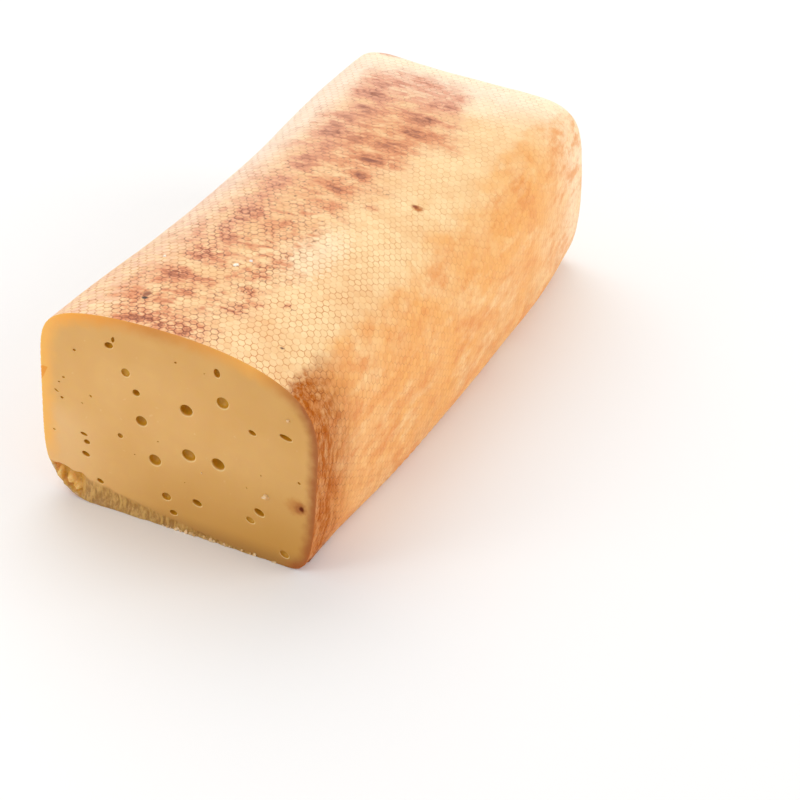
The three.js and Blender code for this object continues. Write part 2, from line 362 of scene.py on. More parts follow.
# %% The tree for the net
def net_tree():
    """A tree that turns the cage into the net-marked rind."""
    tree = new_tree("rind_net", [("Smoothing", "Int"), ("Groove Depth", "Float"), ("Pad Share", "Float"),
                                 ("Plain Below", "Float"), ("Rind", "Material")])
    given = add(tree, "NodeGroupInput").outputs
    place = add(tree, "GeometryNodeInputPosition")
    blur = add(tree, "GeometryNodeBlurAttribute", {"data_type": "FLOAT_VECTOR"},
               Iterations=given["Smoothing"])
    tree.links.new(place.outputs[0], next(s for s in blur.inputs if s.enabled and s.name == "Value"))
    smooth = add(tree, "GeometryNodeSetPosition", Geometry=given["Geometry"],
                 Position=next(s for s in blur.outputs if s.enabled))
    cells = add(tree, "GeometryNodeDualMesh", Mesh=smooth)
    down = add(tree, "ShaderNodeMath", {"operation": "MULTIPLY"}, i0=given["Groove Depth"], i1=-1.0)
    sink = add(tree, "ShaderNodeVectorMath", {"operation": "SCALE"}, Scale=down,
               i0=add(tree, "GeometryNodeInputNormal"))
    sunk = add(tree, "GeometryNodeSetPosition", Geometry=cells, Offset=sink)
    tint = add(tree, "FunctionNodeRandomValue", {"data_type": "FLOAT"}, Seed=SEED)
    tinted = add(tree, "GeometryNodeStoreNamedAttribute", {"data_type": "FLOAT", "domain": "FACE"},
                 Geometry=sunk, Name="cell", Value=next(s for s in tint.outputs if s.enabled))
    netted = add(tree, "FunctionNodeCompare", {"operation": "GREATER_THAN"}, B=given["Plain Below"],
                 A=add(tree, "ShaderNodeSeparateXYZ", i0=place).outputs["Z"])
    pads = add(tree, "GeometryNodeExtrudeMesh", {"mode": "FACES"}, Mesh=tinted, Selection=netted,
               Offset_Scale=given["Groove Depth"], Individual=True)
    shrunk = add(tree, "GeometryNodeScaleElements", {"domain": "FACE"}, Geometry=pads,
                 Selection=pads.outputs["Top"], Scale=given["Pad Share"])
    marked = add(tree, "GeometryNodeStoreNamedAttribute", {"data_type": "FLOAT", "domain": "POINT"},
                 Geometry=shrunk, Name="pad", Value=pads.outputs["Top"])
    rounded = add(tree, "GeometryNodeSetShadeSmooth", Geometry=marked)
    end_tree(tree, rounded, given["Rind"])
    return tree


PLAIN_BELOW = 4 * MM
rind_material = bpy.data.materials.new("smoked_rind")
paste_material = bpy.data.materials.new("cheese_paste")
rind_mesh = apply_tree(cage, net_tree(), {
    "Smoothing": 1, "Groove Depth": 0.12 * MM, "Pad Share": 0.84, "Plain Below": PLAIN_BELOW,
    "Rind": rind_material,
})
print("rind:", len(rind_mesh.vertices), "points,", len(rind_mesh.polygons), "faces")

# %% [markdown]
# ## The knife's cut
#
# A bisection with the knife's plane cuts straight through the cells of the net, as the real knife
# did. What it leaves open is one loop of points, the outline of the cut face. Before that, the plain
# points along the base are pressed back onto the solid, because smoothing had rounded its edge off.

# %% Cutting the rind
SHORTEST_EDGE = 0.08 * MM
PLANE_SLACK = 1e-7


def cut_open(mesh):
    """The rind as an editable mesh behind the knife plane, and the loop of points on the cut."""
    cut = bmesh.new()
    cut.from_mesh(mesh)
    everything = cut.verts[:] + cut.edges[:] + cut.faces[:]
    bmesh.ops.bisect_plane(cut, geom=everything, dist=PLANE_SLACK, plane_co=(0, knife_y, 0),
                           plane_no=(0, 1, 0), clear_inner=True)
    rim = [v for v in cut.verts if v.is_boundary]
    bmesh.ops.remove_doubles(cut, verts=rim, dist=SHORTEST_EDGE)
    start = next(e for e in cut.edges if e.is_boundary)
    loop = [start.verts[0]]
    edge = start
    while True:
        corner = edge.other_vert(loop[-1])
        if corner == loop[0]:
            return cut, loop
        loop.append(corner)
        edge = next(e for e in corner.link_edges if e.is_boundary and e != edge)


def press_base(mesh):
    """Puts the plain points near the base back on the solid, so that its base edge stays crisp."""
    for v in mesh.vertices:
        if v.co.z < PLAIN_BELOW and v.co.y > knife_y + CLEAR_OF_EYES:
            v.co = solid_tree.find_nearest(v.co)[0]


press_base(rind_mesh)
loaf_mesh, cut_loop = cut_open(rind_mesh)
print("cut outline:", len(cut_loop), "points")

# %% [markdown]
# ## Eyes in the paste
#
# Gas bubbles leave round eyes in the paste. Some were cut through their middle and look deep, and
# others were only grazed and look like shallow dishes. Each is given by its place on the face from
# the face's middle line and base, its mouth, its tilt and its depth, all in millimetres and
# degrees. Pits no larger than a pinhead lie between them, and a few more are drawn at random.

# %% Places and sizes of the eyes
EYES = [
    (5, 57.5, 5.3, 4.8, 0, 4.2), (6.2, 37, 5.8, 5, -10, 3), (19, 37.3, 5.6, 4.7, -25, 4.4),
    (-8.6, 29.5, 5.2, 4.8, -10, 3.2), (20.5, 66.2, 5, 4.9, -20, 2.4), (-14.6, 45.8, 4.8, 4.4, 0, 3),
    (-28.4, 76.1, 3.7, 2.7, 15, 2.4), (-26.5, 79.2, 1.4, 2.6, -10, 1.5), (10.3, 15.8, 4.2, 2.7, -15, 3.6),
    (37.3, 21.2, 4.5, 2.8, -25, 3.4), (-3.3, 14, 4, 3.4, 0, 2.2), (-21.3, 66, 3.7, 3.7, 0, 1.4),
    (18, 78.8, 2.6, 3.9, 10, 2.4), (47.3, 59.8, 5.2, 2.1, -10, 2.6), (33.7, 16.3, 3.8, 2.5, -20, 1.3),
    (-16.8, 58.2, 3.1, 2.9, 0, 2.8), (33.2, 57, 3.3, 2, -20, 2.2), (-39.9, 21.5, 3.6, 2.2, -15, 2.4),
    (49, 5.6, 4, 2.8, -25, 1.6), (-39.3, 27.5, 2.7, 2.2, 0, 2), (-40.5, 30.9, 3.3, 1.4, -10, 1.6),
    (0, 7.4, 3.3, 2.3, 0, 2.2), (-33.4, 10.6, 3.1, 2, -20, 2.2), (-24.1, 35.7, 2.3, 2.2, 0, 1.4),
]
PITS = [
    (53.7, 41.3, 1.5, 1, -30, 0.9), (-43.8, 69.1, 1.4, 1.1, 0, 0.8), (0.5, 77.8, 1.1, 0.9, 0, 0.7),
    (-49, 55, 1.2, 0.8, 20, 0.6), (-52.3, 47.8, 2.2, 0.8, -30, 0.6), (-50, 45.2, 1.4, 1.1, 0, 0.9),
    (-37, 50, 1.4, 1, -40, 0.5), (-51, 52.3, 1, 0.7, 0, 0.5), (-54, 28.8, 1.3, 0.8, -20, 0.4),
]
DRAWN_PITS = 7
PIT_ACROSS = (-50, 50)
PIT_UP = (20, 80)
PIT_WIDTH = (0.5, 0.9)
PIT_FLATNESS = (0.6, 0.9)
PIT_TILT = (-40, 10)
PIT_DEPTH = 0.4
PIT_GAP = 3


def draw_pits(count):
    """Tiny pits at random places, clear of the eyes and of each other."""
    draw = random.Random(SEED)
    found = []
    while len(found) < count:
        across, up, wide = (draw.uniform(*limits) for limits in (PIT_ACROSS, PIT_UP, PIT_WIDTH))
        if all(math.hypot(across - e[0], up - e[1]) >= e[2] + PIT_GAP for e in EYES + PITS + found):
            high = wide * draw.uniform(*PIT_FLATNESS)
            found.append((across, up, wide, high, draw.uniform(*PIT_TILT), PIT_DEPTH))
    return found


eyes = EYES + PITS + draw_pits(DRAWN_PITS)
print(len(EYES), "eyes and", len(eyes) - len(EYES), "pits")

# %% [markdown]
# One bubble of unit size serves for every eye. It is a turned shape: a soft lip, a wall that swells
# a little behind it, and a round bottom. It leans up and to the left, so its lower right wall
# catches the light. Geometry Nodes puts a copy on each eye's point, turned and stretched by that
# point's own values.

# %% A bubble and the tree that copies it
LIP = 1.24
BUBBLE_PROFILE = [(LIP, 0), (1.15, 0.005), (1.07, 0.02), (1.02, 0.07), (1.0, 0.16), (1.03, 0.32),
                  (0.99, 0.52), (0.86, 0.72), (0.62, 0.88), (0.32, 0.97)]
BUBBLE_SIDES = 24
BUBBLE_LEAN = (-0.3, 0.22)
LIP_HIGHLIGHT_FROM = 0.01
LIP_HIGHLIGHT_DEPTH = 0.16
HOLLOW_SHADE_FROM = 0.02
HOLLOW_SHADE_FADE = 0.3


def lip_highlight_share(x, depth, z):
    """How much painted highlight the lip gets: most at the lower right of the mouth, where the light falls,
    nothing at its outer edge.
    """
    return ease(depth / LIP_HIGHLIGHT_FROM) * (1 - ease(depth / LIP_HIGHLIGHT_DEPTH)) * ease(0.6 + 0.4 * (x - z))


def bubble_mesh():
    """A hollow that opens along -Y, one unit in radius and depth."""
    points = []
    for radius, depth in BUBBLE_PROFILE:
        for i in range(BUBBLE_SIDES):
            turn = 2 * math.pi * i / BUBBLE_SIDES
            points.append((radius * math.cos(turn) + BUBBLE_LEAN[0] * depth, depth,
                           radius * math.sin(turn) + BUBBLE_LEAN[1] * depth))
    points.append((BUBBLE_LEAN[0], 1, BUBBLE_LEAN[1]))
    faces = []
    for k in range(len(BUBBLE_PROFILE)):
        for i in range(BUBBLE_SIDES):
            a = k * BUBBLE_SIDES + i
            b = k * BUBBLE_SIDES + (i + 1) % BUBBLE_SIDES
            last = k + 1 == len(BUBBLE_PROFILE)
            faces.append((a, b, len(points) - 1) if last else (a, b, b + BUBBLE_SIDES, a + BUBBLE_SIDES))
    mesh = bpy.data.meshes.new("bubble")
    mesh.from_pydata(points, [], faces)
    # A mark that grows with depth, for the painted shade inside the eye.
    hollow_shade = mesh.attributes.new("hollow_shade", "FLOAT", "POINT")
    hollow_shade.data.foreach_set("value", [ease((p[1] - HOLLOW_SHADE_FROM) / HOLLOW_SHADE_FADE) for p in points])
    # A mark on the lip's lower right, for a painted highlight where the light falls.
    lip_highlight = mesh.attributes.new("lip_highlight", "FLOAT", "POINT")
    lip_highlight.data.foreach_set("value", [lip_highlight_share(*p) for p in points])
    return mesh


def loose_points(name, spots):
    """An object of loose points, each with a place, and a stretch and turn for the copy put on it."""
    mesh = bpy.data.meshes.new(name)
    mesh.from_pydata([spot[0] for spot in spots], [], [])
    for part, label in ((1, "stretch"), (2, "turn")):
        layer = mesh.attributes.new(label, "FLOAT_VECTOR", "POINT")
        layer.data.foreach_set("vector", [number for spot in spots for number in spot[part]])
    return new_object(name, mesh)


def copies_tree():
    """A tree that puts a stretched and turned copy of a shape on each point."""
    tree = new_tree("copies_on_points", [("Shape", "Object"), ("Finish", "Material")])
    given = add(tree, "NodeGroupInput").outputs
    shape = add(tree, "GeometryNodeObjectInfo", Object=given["Shape"])
    size = add(tree, "GeometryNodeInputNamedAttribute", {"data_type": "FLOAT_VECTOR"}, Name="stretch")
    turn = add(tree, "GeometryNodeInputNamedAttribute", {"data_type": "FLOAT_VECTOR"}, Name="turn")
    copies = add(tree, "GeometryNodeInstanceOnPoints", Points=given["Geometry"],
                 Instance=shape.outputs["Geometry"], Rotation=turn, Scale=size)
    end_tree(tree, copies, given["Finish"])
    return tree


def eye_spot(across, up, wide, high, tilt, deep):
    """The place, stretch and turn of the bubble for one eye."""
    place = (face_x + across * MM, knife_y, up * MM)
    return place, (wide / 2 * MM, deep * MM, high / 2 * MM), (0, -math.radians(tilt), 0)


copies = copies_tree()
bubble = new_object("bubble", bubble_mesh())
eye_spots = loose_points("eye_spots", [eye_spot(*eye) for eye in eyes])
eyes_mesh = apply_tree(eye_spots, copies, {"Shape": bubble, "Finish": paste_material})
print("eyes:", len(eyes_mesh.vertices), "points")

# %% [markdown]
# ## The cut face
#
# The knife stopped short of the base, and the last of the cheese was torn. The torn strip is
# highest at the left and fades out to the right, its foot stands out a little, and at its left
# corner a piece broke out and left a pocket of curds. The face is triangulated inside the cut's
# outline and around the mouths of the eyes, with small triangles in the torn parts.

# %% Filling the cut
TEAR_HEIGHT = 13.5
TEAR_LEFT = -53
TEAR_RIGHT = 50
TEAR_FADE = 1.6
TORN_MARGIN = 1.3
COARSE = 2.4
COARSE_GAP = 1.2
FINE = 0.52
FINE_GAP = 0.35
LIP_GAP = 0.12
FLAT_SLACK = 1e-7
FACE_HALF = 62
FACE_TOP = 92
PASTE = 1


def tear_height(x):
    """Height of the torn strip in millimetres at a place across the face."""
    fade = min(max((TEAR_RIGHT - x) / (TEAR_RIGHT - TEAR_LEFT), 0), 1)
    return TEAR_HEIGHT * fade ** TEAR_FADE


def torn_at(point):
    """True where the face is torn and needs small triangles."""
    return point.y < tear_height(point.x) + TORN_MARGIN


def turned(x, z, tilt):
    """A place on the face, turned by a tilt in degrees."""
    cos, sin = math.cos(math.radians(tilt)), math.sin(math.radians(tilt))
    return x * cos - z * sin, x * sin + z * cos


def mouth_point(eye, i):
    """A point on the lip round an eye's mouth, in millimetres on the face."""
    across, up, wide, high, tilt, _ = eye
    angle = 2 * math.pi * i / BUBBLE_SIDES
    x, z = turned(LIP * wide / 2 * math.cos(angle), LIP * high / 2 * math.sin(angle), tilt)
    return Vector((across + x, up + z))


def in_mouth(point, reach):
    """True where a point of the face is inside an eye's mouth."""
    for across, up, wide, high, tilt, _ in eyes:
        x, z = turned(point.x - across, point.y - up, -tilt)
        if (x / wide) ** 2 + (z / high) ** 2 < (reach / 2) ** 2:
            return True
    return False


def face_lattice(step, wanted):
    """Staggered points over the face, where they are wanted."""
    return [place for place in staggered(-FACE_HALF, 2 * FACE_HALF, FACE_TOP, step) if wanted(place)]


def outline_tree(outline):
    """The outline's points, ready to be searched for the nearest."""
    tree = KDTree(len(outline))
    for i, p in enumerate(outline):
        tree.insert((p.x, p.y, 0), i)
    tree.balance()
    return tree


def fill_cut(mesh, loop):
    """Triangles over the cut, joined to its outline, with the eyes' mouths left open."""
    flat = [Vector(((v.co.x - face_x) / MM, v.co.z / MM)) for v in loop]
    edges = [(i, (i + 1) % len(loop)) for i in range(len(loop))]
    rim = outline_tree(flat)

    def clear(point, gap):
        """True for a place that keeps away from the outline and from the eyes."""
        return rim.find((point.x, point.y, 0))[2] > gap and not in_mouth(point, LIP + LIP_GAP)

    for eye in eyes:
        first = len(flat)
        flat += [mouth_point(eye, i) for i in range(BUBBLE_SIDES)]
        edges += [(first + i, first + (i + 1) % BUBBLE_SIDES) for i in range(BUBBLE_SIDES)]
    flat += face_lattice(COARSE, lambda p: not torn_at(p) and clear(p, COARSE_GAP))
    flat += face_lattice(FINE, lambda p: torn_at(p) and clear(p, FINE_GAP))
    places, _, triangles, sources, _, _ = delaunay_2d_cdt(flat, edges, [], INSIDE_ONLY, FLAT_SLACK)
    corners = []
    for place, source in zip(places, sources):
        known = source and source[0] < len(loop)
        new = (face_x + place.x * MM, knife_y, place.y * MM)
        corners.append(loop[source[0]] if known else mesh.verts.new(new))
    for a, b, c in triangles:
        if in_mouth((places[a] + places[b] + places[c]) / 3, LIP):
            continue
        face = mesh.faces.new((corners[a], corners[b], corners[c]))
        face.material_index = PASTE
        face.smooth = True
    for v in [v for v in corners if not v.link_faces]:
        mesh.verts.remove(v)
    return rim


cut_rim = fill_cut(loaf_mesh, cut_loop)
print("cut face:", sum(f.material_index == PASTE for f in loaf_mesh.faces), "triangles")

# %% [markdown]
# The bubbles now join the face at their lips. Merging the doubled points there leaves one closed
# skin, with the rind behind the knife and the paste in front.

# %% Setting the eyes into the face
WELD_GAP = 1e-6


def set_eyes_in(mesh, hollows):
    """Adds the bubbles and welds each to its mouth in the face."""
    before = len(mesh.faces)
    mesh.from_mesh(hollows)
    mesh.faces.ensure_lookup_table()
    for face in mesh.faces[before:]:
        face.material_index = PASTE
        face.smooth = True
    paste_points = {v for f in mesh.faces if f.material_index == PASTE for v in f.verts}
    bmesh.ops.remove_doubles(mesh, verts=list(paste_points), dist=WELD_GAP)


set_eyes_in(loaf_mesh, eyes_mesh)
open_edges = sum(not e.is_manifold for e in loaf_mesh.edges)
print("loaf:", len(loaf_mesh.verts), "points,", open_edges, "open edges")

# %% [markdown]
# ## Dish, tear and fibres
#
# A soft cheese gives under the knife, so the face is dished a little. Along its foot the cheese was
# pulled apart: the surface goes in under the knife's last line, comes out again at the base, and is
# combed into upright fibres. The rind just behind follows the tear and is straight again a finger's
# width further on. In the broken corner the curds stand up out of a shallow pocket. All of it is one
# shift along the loaf for each point.

# %% Moving the face's points
FACE_DISH = 0.7
DISH_REACH = 45
TEAR_SWING = 4.0
TEAR_CROSSING = 0.6
RAGGED_HEIGHT = 0.8
RAGGED_WIDTH = 4
FIBRE_WIDTH = 1.15
FIBRE_LENGTH = 4
FIBRE_DEPTH = 0.55
FIBRE_LEAN = 0.16
TEAR_BEHIND = 15.0
POCKET_RIGHT = -39
POCKET_SLOPE = 5
POCKET_DEPTH = 1.8
CURDS = [(-47.4, 6.8, 5.2, 6.5, 25, 2.3), (-44.2, 4.6, 5.5, 5, -20, 1.9), (-52.4, 6.5, 3.8, 12, -8, 2.6),
         (-39.8, 2.2, 3, 6.5, 35, 1.5)]
CURD_HOLE = (-43.2, 6.7, 0.7)
CURD_STEEPNESS = 1.6
CURD_GRAINS = [(0.5, 2.0), (0.3, 1.1)]
POCKET_EDGE = 1.5
FRONT_GAP = 0.05


def torn_share(x, z):
    """How far down the torn strip a place on the face is, 0 at its top edge and 1 at the base."""
    ragged = RAGGED_HEIGHT * noise.noise(Vector((x / RAGGED_WIDTH, 0, 5)))
    height = tear_height(x) + ragged * min(tear_height(x) / 4, 1)
    return min(max(1 - z / height, 0), 1) if height > 0.2 else 0.0


def corner_share(x, z):
    """How far into the broken corner a place on the face is, from 0 at its edge to 1."""
    return ease((POCKET_RIGHT - x) / POCKET_SLOPE) * ease(torn_share(x, z) * 6)


def tear_shift(x, z):
    """How far the tear moves a place on the face along the loaf, in millimetres."""
    down = torn_share(x, z)
    if down == 0:
        return 0.0
    swing = TEAR_SWING * tear_height(x) / TEAR_HEIGHT * down * (1 - down / TEAR_CROSSING)
    return swing - FIBRE_DEPTH * ease(down * 5) * fibre(x, z)


def fibre(x, z):
    """The comb of upright fibres: above 0 on a fibre and below 0 between two."""
    lean = x + FIBRE_LEAN * z
    coarse = noise.noise(Vector((lean / FIBRE_WIDTH, z / FIBRE_LENGTH, 1.7)))
    lumps = noise.noise(Vector((lean / FIBRE_WIDTH / 2, z / 2.5, 8.1)))
    return coarse + 0.5 * lumps


def curd_rise(x, z):
    """How far the curds stand up out of the pocket, in millimetres."""
    rough = Vector((x, z, 0))
    rise = sum(height * noise.noise(rough / width) for height, width in CURD_GRAINS)
    highest = 0.0
    for across, up, wide, high, tilt, top in CURDS:
        a, b = turned(x - across, z - up, -tilt)
        away = math.hypot(2 * a / wide, 2 * b / high)
        highest = max(highest, top * ease(CURD_STEEPNESS * (1 - away)))
    across, up, reach = CURD_HOLE
    hole = ease(1.5 - math.hypot(x - across, z - up) / reach)
    return (highest + rise) * (1 - hole)


def shape_cut(mesh, rim):
    """Shifts the face and the rind near it, and keeps what the materials need to know."""
    names = ("edge", "torn", "fibre", "pocket", "curd")
    edge, torn, strand, pocket, curd = [mesh.verts.layers.float.new(name) for name in names]
    foremost = (cad_low.y - knife_y) / MM + FRONT_GAP
    for v in mesh.verts:
        x, y, z = (v.co.x - face_x) / MM, (v.co.y - knife_y) / MM, v.co.z / MM
        if any(f.material_index == PASTE for f in v.link_faces):
            v[edge] = rim.find((x, z, 0))[2]
            v[torn] = ease(torn_share(x, z) * 4)
            v[strand] = 0.5 + fibre(x, z)
            v[pocket] = corner_share(x, z) * ease(v[edge] / POCKET_EDGE)
            v[curd] = curd_rise(x, z) / POCKET_DEPTH
            near_rim = max(1 - v[edge] / DISH_REACH, 0)
            y += FACE_DISH * (1 - near_rim ** 2) + tear_shift(x, z)
            y += v[pocket] * POCKET_DEPTH * (1 - v[curd])
        elif y < TEAR_BEHIND:
            y += tear_shift(x, z) * (1 - y / TEAR_BEHIND) ** 2
        v.co.y = knife_y + max(y, foremost) * MM


shape_cut(loaf_mesh, cut_rim)
foremost_y = min(v.co.y for v in loaf_mesh.verts)
print("face from y", round((foremost_y - knife_y) / MM, 2), "mm of the knife plane")

# %% [markdown]
# ## Smoke marks
#
# Smoke settled most where the loaf lay near its neighbours: a reddish band runs along its top, with
# a row of soft brown ovals down each side of it. Each blot is given by its place from the face's
# middle and from the knife, its reach across and along, and how dark it is. They are kept as an
# attribute on the points of the rind, which the material reads.

# %% Blots on the rind
RIGHT_ROW = [
    (8, 238, 9, 6, 0.65), (7, 220, 10, 5.5, 0.75), (8, 204, 8, 5, 0.8), (3, 186, 9, 6, 0.55),
    (3, 170, 10, 4.5, 0.65), (4, 154, 5, 3.5, 0.75), (0, 138, 8, 5, 0.5), (20, 131, 3.5, 4, 0.5),
    (4, 120, 4, 3, 0.5), (-2, 101, 6, 4, 0.3), (-4, 88, 7, 4, 0.4), (8, 74, 4, 4, 0.65),
    (6, 58, 4, 6, 0.6), (8, 43, 4, 3, 1.0), (26, 42, 2, 2.4, 0.9), (17, 35, 2, 1.8, 0.9),
    (10, 27, 4.5, 3, 0.5), (8, 253, 8, 8, 0.5), (24, 208, 8, 6, 0.42), (28, 198, 6, 6, 0.4),
    (22, 220, 7, 5, 0.25), (15, 172, 5, 5, 0.3), (18, 146, 5, 4, 0.25), (4, 9, 8, 5, 0.25),
]
LEFT_ROW = [
    (-30, 251, 9, 7, 0.42), (-31, 235, 10, 7, 0.6), (-22, 216, 8, 6, 0.45), (-26, 203, 9, 6, 0.45),
    (-24, 187, 9, 7, 0.55), (-13, 184, 6, 5, 0.4), (-22, 170, 5, 8, 0.35), (-22, 154, 5, 8, 0.5),
    (-23, 128, 5, 9, 0.5), (-22, 101, 6, 8, 0.8), (-33, 98, 3, 3, 0.5), (-22, 80, 5, 8, 0.65),
    (-21, 63, 5, 6, 1.0), (-23, 42, 4, 5, 1.0), (-24, 19, 5, 7, 0.75), (-8, 5, 17, 4.5, 0.95),
    (-13, 263, 8, 4, 0.4),
]
LEFT_EDGE = [(-42, 285, 6, 3.5, 0.9), (-40, 140, 2, 2, 0.4), (-42, 186, 2, 2, 0.4)]
SMOKE_BLOTS = RIGHT_ROW + LEFT_ROW + LEFT_EDGE
SMOKE_LEAN = -0.06
TOP_ONLY = 62
BLOT_END = 2.4


def smoke_at(x, y):
    """How much smoke settled at a place on the loaf's top."""
    total = 0.0
    for across, along, reach, width, dark in SMOKE_BLOTS:
        dx = x - across
        dy = y - along - SMOKE_LEAN * dx
        if abs(dx) < BLOT_END * reach and abs(dy) < BLOT_END * width:
            total += dark * math.exp(-(dx / reach) ** 2 - (dy / width) ** 2)
    return total


def mark_smoke(mesh):
    """Keeps the smoke on each point of the loaf's top."""
    smoke_mark = mesh.verts.layers.float.new("smoke")
    for v in mesh.verts:
        if v.co.z > TOP_ONLY * MM:
            v[smoke_mark] = smoke_at((v.co.x - face_x) / MM, (v.co.y - knife_y) / MM)


mark_smoke(loaf_mesh)
print(len(SMOKE_BLOTS), "smoke blots")

# %% [markdown]
# ## The finished loaf
#
# The editable mesh becomes an object with two materials. The edges of the cut and of the
# net's pads are marked sharp, so that smooth shading doesn't round them off.

# %% The loaf as an object
def finish_loaf(mesh):
    """The loaf as an object, with its sharp edges marked and its materials in place."""
    pad = mesh.verts.layers.float["pad"]
    for edge in mesh.edges:
        sides = {face.material_index for face in edge.link_faces}
        edge.smooth = len(sides) == 1 and min(v[pad] for v in edge.verts) < 1
    data = bpy.data.meshes.new("net_marked_loaf")
    mesh.to_mesh(data)
    mesh.free()
    for material in (rind_material, paste_material):
        data.materials.append(material)
    return new_object("net_marked_loaf", data)


loaf = finish_loaf(loaf_mesh)
for helper in (cage, bubble, eye_spots):
    bpy.data.objects.remove(helper)
print("loaf:", len(loaf.data.polygons), "faces")

# %% [markdown]
# ## Crumbs
#
# Where the cheese tore, pale crumbs stayed along the foot of the cut, and a few stuck to the face
# and to the rind. All of them are one small uneven ball, put on loose points by the tree that set
# the eyes. A ray from in front or from above finds the skin that each crumb sits on.

# %% Crumbs on the loaf
CRUMB_HEAPS = [(-4, 4), (3, 7), (9, 9), (15, 8), (20, 7), (27, 4), (35, 5), (45, 3)]
HEAP_SPREAD = 1.8
LUMP_HEIGHT = 0.5
LUMPS = 1.6
STUCK_ON_FACE = [(40, 30, 1.3), (38.6, 29, 0.8), (48, 68, 0.7), (12, 31, 0.4)]
STUCK_ON_RIND = [(-5.4, 58.4, 0.9), (-1.8, 64.1, 0.7), (-34, 52, 0.5)]
CRUMB_SIZE = (0.2, 1.0, 0.35)
CRUMB_HEIGHT = (0.5, 1.4)
CRUMB_STRETCH = (0.6, 1.3)
IN_FRONT = -10
ABOVE = 100
FORWARD = Vector((0, 1, 0))
DOWN = Vector((0, 0, -1))


def uneven_ball():
    """A lumpy ball of about one unit in radius."""
    ball = bmesh.new()
    bmesh.ops.create_icosphere(ball, subdivisions=2, radius=1)
    for v in ball.verts:
        v.co *= 1 + LUMP_HEIGHT * noise.noise(v.co * LUMPS)
    data = bpy.data.meshes.new("crumb")
    ball.to_mesh(data)
    ball.free()
    return data


def crumb_spots():
    """Places on the loaf's skin for the crumbs, each with a stretch and turn drawn from the seed."""
    draw = random.Random(SEED)
    skin = surface(loaf.data)
    rays = []
    for middle, count in CRUMB_HEAPS:
        for _ in range(count):
            size = draw.triangular(*CRUMB_SIZE)
            across = draw.gauss(middle, HEAP_SPREAD)
            rays.append((across, IN_FRONT, size * draw.uniform(*CRUMB_HEIGHT), FORWARD, size))
    rays += [(across, IN_FRONT, up, FORWARD, size) for across, up, size in STUCK_ON_FACE]
    rays += [(across, along, ABOVE, DOWN, size) for across, along, size in STUCK_ON_RIND]
    spots = []
    for across, along, up, way, size in rays:
        start = Vector((face_x + across * MM, knife_y + along * MM, up * MM))
        place = skin.ray_cast(start, way)[0]
        stretch = [size * draw.uniform(*CRUMB_STRETCH) * MM for _ in range(3)]
        spots.append((place, stretch, [draw.uniform(0, 2 * math.pi) for _ in range(3)]))
    return spots


def make_crumbs(finish):
    """All crumbs as one piece, kept inside the solid's box."""
    ball = new_object("crumb", uneven_ball())
    piece = loose_points("loose_crumbs", crumb_spots())
    piece.data = apply_tree(piece, copies, {"Shape": ball, "Finish": finish})
    bpy.data.objects.remove(ball)
    for v in piece.data.vertices:
        v.co.y = max(v.co.y, cad_low.y)
        v.co.z = min(max(v.co.z, 0), cad_high.z)
    return piece


crumb_material = bpy.data.materials.new("pale_crumb")
crumbs = make_crumbs(crumb_material)
print("crumbs:", len(crumbs.data.polygons), "faces")

# %% [markdown]
# ## Materials
#
# All three materials read Object coordinates, turned into millimetres from the middle of the cut, so
# a place in the material is the same place on the loaf. A few helpers keep the node building short.
# Each adds its node to the tree of the socket that it is given.

# %% Helpers for materials
def new_shader(material):
    """A Principled shader in an emptied material, and the place on the loaf in millimetres."""
    material.use_nodes = True
    tree = material.node_tree
    tree.nodes.clear()
    shader = add(tree, "ShaderNodeBsdfPrincipled")
    add(tree, "ShaderNodeOutputMaterial", Surface=shader)
    coordinates = add(tree, "ShaderNodeTexCoord").outputs["Object"]
    place = add(tree, "ShaderNodeMapping", Vector=coordinates, Scale=(1 / MM, 1 / MM, 1 / MM),
                Location=(-face_x / MM, -knife_y / MM, 0)).outputs[0]
    return shader, place


def axes(place):
    """A place's distances across, along and up the loaf."""
    return add(place.id_data, "ShaderNodeSeparateXYZ", i0=place).outputs[:]


def grain(place, size, detail=2, roughness=0.5, stretch=(1, 1, 1), twist=0):
    """Noise with features about as large as the size in millimetres, longer where stretched."""
    scale = tuple(1 / (size * s) for s in stretch)
    scaled = add(place.id_data, "ShaderNodeMapping", Vector=place, Scale=scale)
    return add(place.id_data, "ShaderNodeTexNoise", Vector=scaled, Scale=1.0, Detail=detail,
               Roughness=roughness, Distortion=twist).outputs[0]


def ramp(value, low, high, to_low=0, to_high=1):
    """A smooth step of a value between two limits."""
    return add(value.id_data, "ShaderNodeMapRange", {"interpolation_type": "SMOOTHSTEP"}, i0=value,
               i1=low, i2=high, i3=to_low, i4=to_high).outputs[0]


def calc(operation, value, *others):
    """A value worked out with each of the others in turn."""
    for other in others:
        node = add(value.id_data, "ShaderNodeMath", {"operation": operation}, i0=value, i1=other)
        value = node.outputs[0]
    return value


def times(*values):
    """The product of some values."""
    return calc("MULTIPLY", *values)


def plus(*values):
    """The sum of some values."""
    return calc("ADD", *values)


def blend(share, low, high, mode="MIX"):
    """One colour mixed into another."""
    return add(share.id_data, "ShaderNodeMix", {"data_type": "RGBA", "blend_type": mode}, i0=share,
               i6=low, i7=high).outputs[2]


def over(colour, share, *tone):
    """A colour with a tone, given by screen values, laid over it."""
    return blend(share, colour, light(*tone))


def between(share, low, high):
    """A value part of the way from one to another."""
    return add(share.id_data, "ShaderNodeMix", {"data_type": "FLOAT"}, i0=share, i2=low, i3=high).outputs[0]


def mark(place, name):
    """A value kept on the mesh's points."""
    return add(place.id_data, "ShaderNodeAttribute", {"attribute_name": name}).outputs["Fac"]


